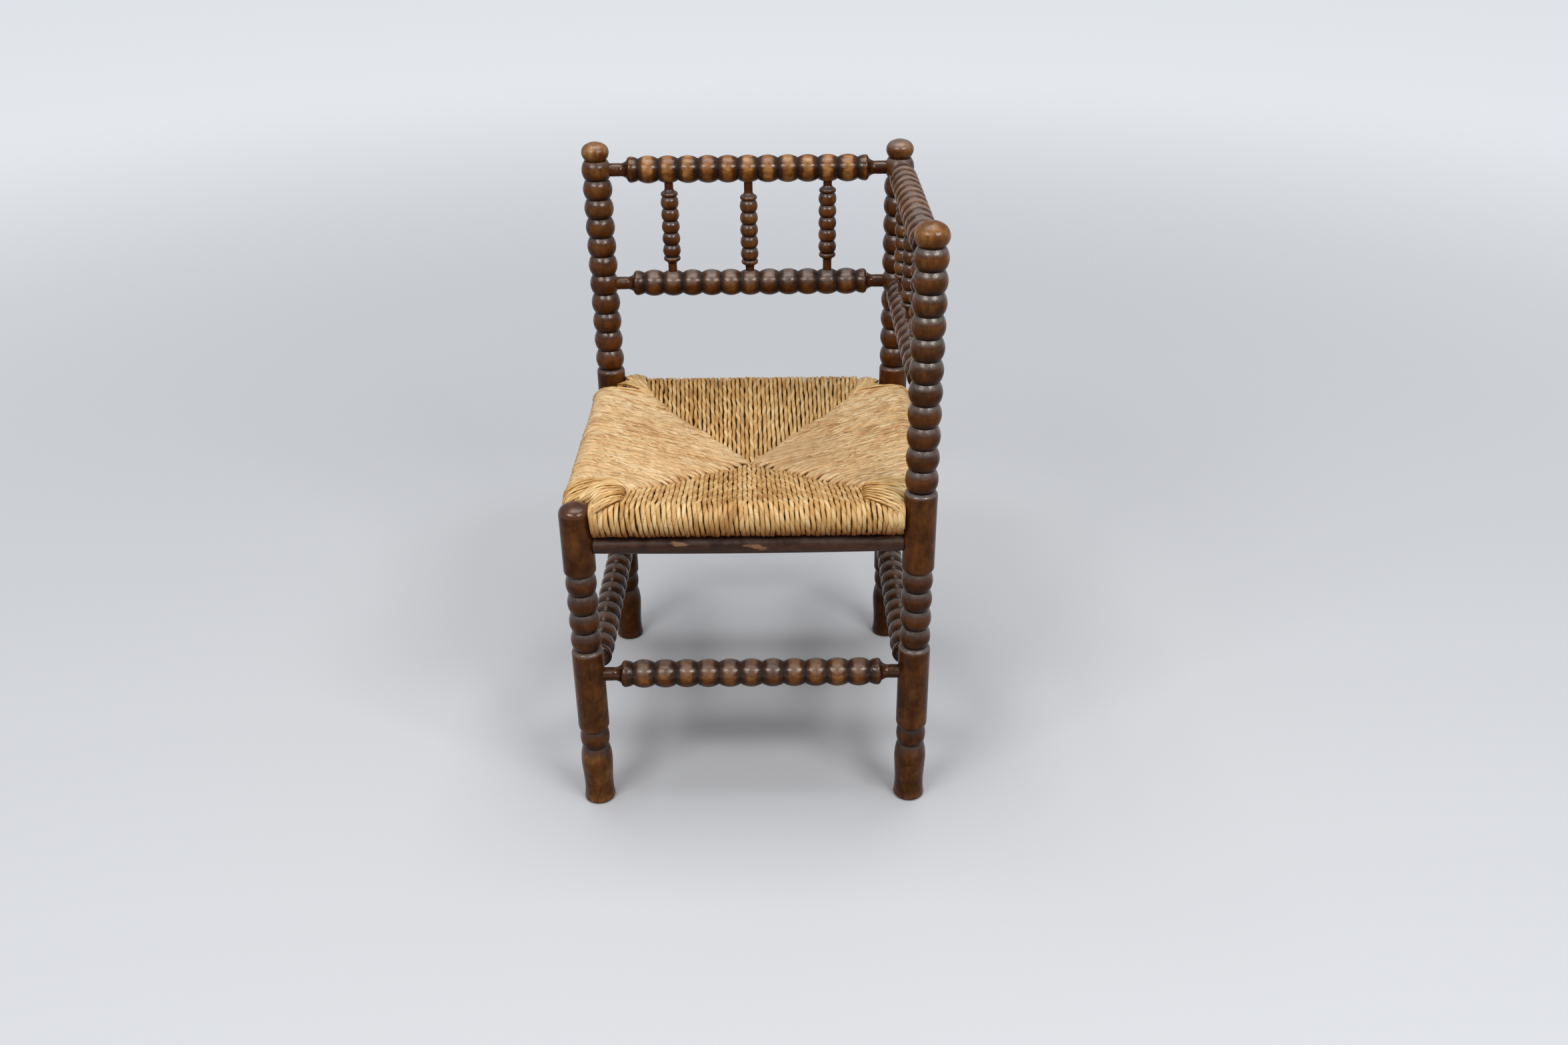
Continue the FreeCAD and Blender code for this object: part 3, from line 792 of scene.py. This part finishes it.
# %% Routes in the four fields
def cross_strand(side, place):
    """Route of a front or back strand, which goes under the side strands at the seam. In front it leans, and
    near the ends it also bulges outward."""
    out = abs(place)
    hand = math.copysign(1.0, place)
    ahead = math.copysign(1.0, side.middle.y)
    drift = ahead * 5.0 * max(0.0, 1 - (out / 145.0) ** 2)
    lean = bulge = 0.0
    if ahead < 0:
        lean = (2.2 - 2.0 * place / 175.0) * min(1.0, (181.0 + place) / 60.0)
        bulge = hand * 2.1 * max(0.0, (out - 50.0) / 125.0)
    seam_x = place * 0.975 + drift
    seam_y = abs(seam_x)
    seam_top = seam_height(min(seam_y, seam_reach)) - (3.6 if seam_y <= seam_reach else 4.6)
    if seam_y > seam_reach:
        seam_y = seam_reach + (seam_y - seam_reach) * 1.2
    below = Vector((hand * below_share * out, ahead * below_share * out, 0.0))
    return strand_route(side, place, Vector((seam_x, ahead * seam_y, 0.0)), seam_top, below,
                        under_height(0.9 * out) + 6.0, bow=1.1, dive=(8.0, 13.0), drop=(2.0, 6.0),
                        lean=lean, bulge=bulge)


def side_strand(side, place, early):
    """Route of a left or right strand, which lies on top at the seam and ends this much early. In the front
    half it hooks forward before its seam, and near the front corner it leans."""
    hook = -7.0 * max(0.0, min(1.0, (5.0 - place) / 20.0, (place + 137.0) / 25.0 + 0.25))
    seam_y = place - 7.0 + hook if place < 8.0 else (place - 8.0) * 1.02
    out = abs(seam_y)
    hand = math.copysign(1.0, side.middle.x)
    seam = Vector((hand * max(out + early, 2.0), seam_y, 0.0))
    lean = -12.0 * max(0.0, min(1.0, (-80.0 - place) / 55.0))
    below = Vector((hand * below_share * abs(place), below_share * place, 0.0))
    return strand_route(side, place, seam, seam_height(out) - 0.4, below,
                        under_height(0.9 * abs(place)) + 3.0, bow=2.2, dive=(2.2, 3.8), drop=(1.4, 4.0),
                        hook=hook * side.along.y, lean=lean * side.along.y)

# %% [markdown]
# Each side becomes one piece: its own strands and, on the left and the right, the bundles at both ends. The
# random source starts from the side's name, so every run weaves the same seat. The front field runs from
# post to post, with slightly wider strands at its ends, and the back field ends at the bundles. The faces
# of the bundles take the second material slot.

# %% Weave the four fields
first_place, last_place = -178.5, 177.0
field_reach = {"front": 181.0, "back": 149.0}

rush_pieces = []
for side in sides.values():
    draw = random.Random("rush " + side.name)
    shape = bmesh.new()
    layers = {"uv": shape.loops.layers.uv.new("strand"), "tone": shape.verts.layers.float.new("tone"),
              "flank": shape.verts.layers.float.new("flank")}
    crossing = side.name in field_reach
    for number in range(-1, strand_count + 1):
        place = max(first_place, min(strand_pitch * (number - (strand_count - 1) / 2), last_place))
        hand = math.copysign(1.0, place) * (1 if side.name in ("front", "right") else -1)
        if crossing and abs(place) < field_reach[side.name]:
            front_widths = (3.4 if abs(place) > 160.0 else 2.9, 2.7)
            widths = front_widths if side.name == "front" else (2.75, 2.5)
            add_strand(shape, layers, cross_strand(side, place), side.along, widths, 2.6,
                       hand * draw.uniform(26, 46), draw, 1.4, 3.8, 0.14)
        elif not crossing and -137.0 < place < 145.0:
            points = side_strand(side, place + draw.uniform(-0.8, 0.8), draw.uniform(-1.8, 1.8))
            add_strand(shape, layers, points, side.along, (4.3, 4.6), 1.9, hand * draw.uniform(34, 50), draw,
                       1.3, 6.0)
    plain_faces = len(shape.faces)
    if not crossing:
        for kind, beside, end_width in (("side", side.along, 1.9), ("cross", across, 2.0)):
            for points in bundle_fans[side.name, kind]:
                add_strand(shape, layers, points, beside, (2.4, end_width), 2.4, draw.uniform(26, 38), draw,
                           0.6, 4.5)
    for face in list(shape.faces)[plain_faces:]:
        face.material_index = 1
    bmesh.ops.holes_fill(shape, edges=[edge for edge in shape.edges if edge.is_boundary], sides=0)
    bmesh.ops.recalc_face_normals(shape, faces=shape.faces)
    piece = into_scene("rush_" + side.name, shape)
    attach(piece, "root")
    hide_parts("rush_seat")
    rush_pieces.append(piece)

# %% [markdown]
# Rush is a dried leaf: straw-coloured, with long fibres, brown flecks and a dull sheen. The pattern lies on
# the strand's UV map, where U goes round the strand, turned by the twist, and V runs along it in metres. U
# becomes a point on a circle first, so that the pattern has no break where the tube was welded. Every strand
# has its own tone, its two leaves differ a little, and painted shade darkens the flanks, where strands touch.
# On the flattened sides the fibres run on from strand to strand, so a second pattern there ignores the
# strands.

# %% Patterns of the rush
seat_middle = (0.045, -0.005, 0.39)


class TwistedRush(Finish):
    """A finish of rush, with the patterns that its colour and relief share."""

    def __init__(self, name):
        super().__init__(name)
        round_strand = self.add("SeparateXYZ", {0: self.add("UVMap", {}, uv_map="strand")}, "X")
        length = round_strand.node.outputs["Y"]
        self.tone = self.add("Attribute", {}, "Fac", attribute_name="tone")
        self.flank = self.add("Attribute", {}, "Fac", attribute_name="flank")
        angle = self.times(round_strand, 2 * math.pi)
        self.leaf = self.math("COSINE", angle)
        circle = self.add("CombineXYZ", {0: self.leaf, 1: self.math("SINE", angle),
                                         2: self.times(length, 22.0)})
        seed = self.times(self.tone, 90.0)
        self.fibres = self.noise(self.stretched(circle, (4.5, 4.5, 1.0)), 1.0, seed, 4.0, 0.62)
        other = self.math("ADD", seed, 11.0)
        self.streaks = self.noise(self.stretched(circle, (9.0, 9.0, 1.6)), 1.0, other, 3.0)
        other = self.math("ADD", seed, 5.0)
        self.patches = self.noise(self.stretched(circle, (0.6, 0.6, 1.3)), 1.0, other, 2.0)

        # Marks that run on from strand to strand
        place = self.add("TexCoord", {}, "Object")
        slanted = self.total(self.add("SeparateXYZ", {0: place}, "Y"), (length, 0.38))
        brushed = self.add("CombineXYZ", {0: self.times(slanted, 1.0 / (4.0 * mm)),
                                          1: self.times(length, 1.0 / (20.0 * mm)),
                                          2: self.times(self.tone, 0.8)})
        marks = self.centred(self.noise(brushed, 1.0, 3.0, 2.0, 0.5, 1.3))
        calm = self.span(self.noise(place, 30.0, 13.0, 2.0), 0.35, 0.62, 0.45, 1.2)
        self.brush_marks = self.times(marks, calm)
        self.dashes = self.noise(self.stretched(brushed, (2.2, 2.6, 1.0)), 1.0, 9.0, 1.0, 0.5, 0.6)
        self.clouds = self.noise(place, 15.0, 7.0, 3.0, 0.6)
        self.height = self.add("SeparateXYZ", {0: place}, "Z")
        self.from_middle = self.length(self.vector("SUBTRACT", place, seat_middle))

# %% [markdown]
# The colour is laid on in steps. First the dry leaf, with flecks and dashes, and greyer where people sat.
# Then painted shade where the twist hides: in the crease between the two leaves, and on the flanks, which
# get a warm painted half shade and a brown painted shade where they touch. Last the low part of the rolls,
# which is darker and browner, partly from grime and partly from painted shade.

# %% Colour of the rush
fleck_brown = colour(0.40, 0.22, 0.08)
dash_brown = colour(0.27, 0.115, 0.038)
sat_on_grey = colour(0.40, 0.235, 0.108)
crease_shade_brown = colour(0.24, 0.11, 0.03)
warm_tint = colour(0.98, 0.72, 0.40)
gap_shade_brown = colour(0.125, 0.040, 0.009)
low_roll_grime_and_shade_brown = colour(0.34, 0.098, 0.011)


def dry_leaf(rush, shades, tone_spread, brushed):
    """The leaf's own colour, between a shadow, a straw and a pale shade."""
    level = rush.span(rush.tone, 0.0, 1.0, 0.36 - tone_spread, 0.36 + tone_spread)
    level = rush.total(level, (rush.patches, 0.34 * (1 - 0.6 * brushed)), (rush.leaf, 0.13 * (1 - brushed)),
                       (rush.centred(rush.fibres), 0.22), (rush.brush_marks, 2.1 * brushed),
                       (rush.centred(rush.clouds), 0.9))
    tone = rush.ramp(level, list(zip((0.0, 0.45, 0.85), shades)))
    tone = rush.mix(rush.span(rush.streaks, 0.56, 0.72, 0.0, 0.14), tone, fleck_brown)
    tone = rush.mix(rush.span(rush.dashes, 0.60, 0.69, 0.0, 0.25 + 0.50 * brushed), tone, dash_brown)
    sat_on = rush.times(rush.span(rush.from_middle, 0.01, 0.11, 1.0, 0.0), rush.clouds)
    return rush.mix(rush.times(sat_on, 0.70, clamp=True), tone, sat_on_grey)


def in_use(rush, tone, crease, crease_depth, flank_shade):
    """The colour with painted shade in its creases and on its flanks, its darker low rolls, and how far a
    flank is in painted half shade.
    """
    # Painted shade in the crease between the two leaves.
    tone = rush.mix(rush.times(crease, 0.34 * crease_depth), tone, crease_shade_brown)
    broken = rush.span(rush.patches, 0.36, 0.60, 1.0, 0.7)
    # Painted shade on the flanks: brown where strands touch, broken up by the patches, and a warm half shade.
    flank_shade_share = rush.times(rush.span(rush.flank, 0.74, 0.96, 0.0, flank_shade), broken)
    warm = rush.span(rush.flank, 0.40, 0.92, 0.0, 0.85 * flank_shade)
    tone = rush.mix(warm, tone, warm_tint, "MULTIPLY")
    tone = rush.mix(flank_shade_share, tone, gap_shade_brown)
    # The low part of the rolls is darker and browner: partly grime, partly painted shade.
    low = rush.times(rush.span(rush.height, 0.387, 0.411, 0.94, 0.0),
                    rush.span(rush.from_middle, 0.12, 0.17))
    return rush.mix(low, tone, low_roll_grime_and_shade_brown), warm

# %% [markdown]
# Three finishes come from these steps. The round strands show the painted shade of their creases and
# flanks, and so do the paler bundles. On the flat sides the marks that run on from strand to strand take
# over. The sheen lies on the crowns of the strands and not on their flanks.

# %% Finishes of the rush
def twisted_rush(name, shades, tone_spread, crease_depth, flank_shade, brushed):
    """Brushed is the share of the pattern that ignores where a strand ends."""
    rush = TwistedRush(name)
    crease = rush.span(rush.math("ABSOLUTE", rush.leaf), 0.0, 0.24, 1.0, 0.0)
    tone, warm = in_use(rush, dry_leaf(rush, shades, tone_spread, brushed), crease, crease_depth, flank_shade)
    rush.fill(rush.shader, {"Base Color": tone, "Roughness": rush.span(rush.fibres, 0.3, 0.7, 0.36, 0.56),
                            "Specular IOR Level": rush.span(warm, 0.0, 0.6, 0.36, 0.04)})
    relief = rush.total(rush.times(rush.fibres, 0.25), (rush.streaks, 0.12),
                        (rush.brush_marks, 0.8 * brushed))
    rush.bump(rush.math("SUBTRACT", relief, rush.times(crease, 0.5 * crease_depth)))
    return rush.material


cross_rush = twisted_rush("rush_round", ((0.31, 0.132, 0.032), (0.68, 0.415, 0.158), (0.90, 0.66, 0.34)),
                          0.13, 0.9, 1.0, 0.0)
bundle_rush = twisted_rush("rush_bundle", ((0.40, 0.200, 0.066), (0.74, 0.480, 0.205), (0.93, 0.69, 0.37)),
                           0.14, 0.9, 0.95, 0.0)
side_rush = twisted_rush("rush_flat", ((0.42, 0.190, 0.058), (0.74, 0.480, 0.228), (0.89, 0.695, 0.42)),
                         0.05, 0.15, 0.25, 1.0)
for piece in rush_pieces:
    crossing = piece.name in ("rush_front", "rush_back")
    for material in [cross_rush] if crossing else [side_rush, bundle_rush]:
        piece.data.materials.append(material)
print("rush pieces finished:", len(rush_pieces))

# %% [markdown]
# Between the upper and the lower layer the weaver packs broken rush. It is only glimpsed through the gaps,
# and its dark brown is partly its own colour and partly painted shade. It is a cube whose faces were
# divided, pulled to follow the two layers.

# %% Packed rush
half_width, half_depth = 168.0, 161.0
divisions = 18

shape = bmesh.new()
bmesh.ops.create_cube(shape, size=2.0)
bmesh.ops.subdivide_edges(shape, edges=shape.edges, cuts=divisions, use_grid_fill=True)
for corner in shape.verts:
    x, y = corner.co.x * half_width, corner.co.y * half_depth
    pinch = max(0.0, (abs(corner.co.x) + abs(corner.co.y) - 1.55) / 0.45)
    x, y = x * (1 - 0.10 * pinch), y * (1 - 0.10 * pinch)
    out = max(abs(x), abs(y))
    top, underside = seam_height(min(out, 120.0)) - 10.0, under_height(out) + 9.0
    lump = 1.2 * noise.noise(Vector((x, y, corner.co.z * 40)) / 14.0)
    height = underside + (top - underside) * (corner.co.z + 1) / 2 + lump
    corner.co = Vector((x, y, height)) * mm
for face in shape.faces:
    face.smooth = True
bmesh.ops.recalc_face_normals(shape, faces=shape.faces)
packed_rush = into_scene("packed_rush", shape)
packing = Finish("packed_rush")
place = packing.add("TexCoord", {}, "Object")
stalks = packing.noise(packing.stretched(place, (1.0, 0.12, 1.0)), 420.0, 1.0, 4.0, 0.6)
# A dark brown, partly the packing's own colour and partly painted shade, so the gaps read dark.
stalk_and_shade_colour = packing.ramp(stalks, [(0.3, (0.07, 0.032, 0.012)), (0.7, (0.20, 0.10, 0.038))])
packing.fill(packing.shader, {"Base Color": stalk_and_shade_colour,
                              "Roughness": packing.span(stalks, 0.3, 0.7, 0.7, 0.9)})
packing.bump(packing.times(stalks, 1.5))
packing.give_to(packed_rush)
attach(packed_rush, "root")
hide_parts("seat_stuffing")
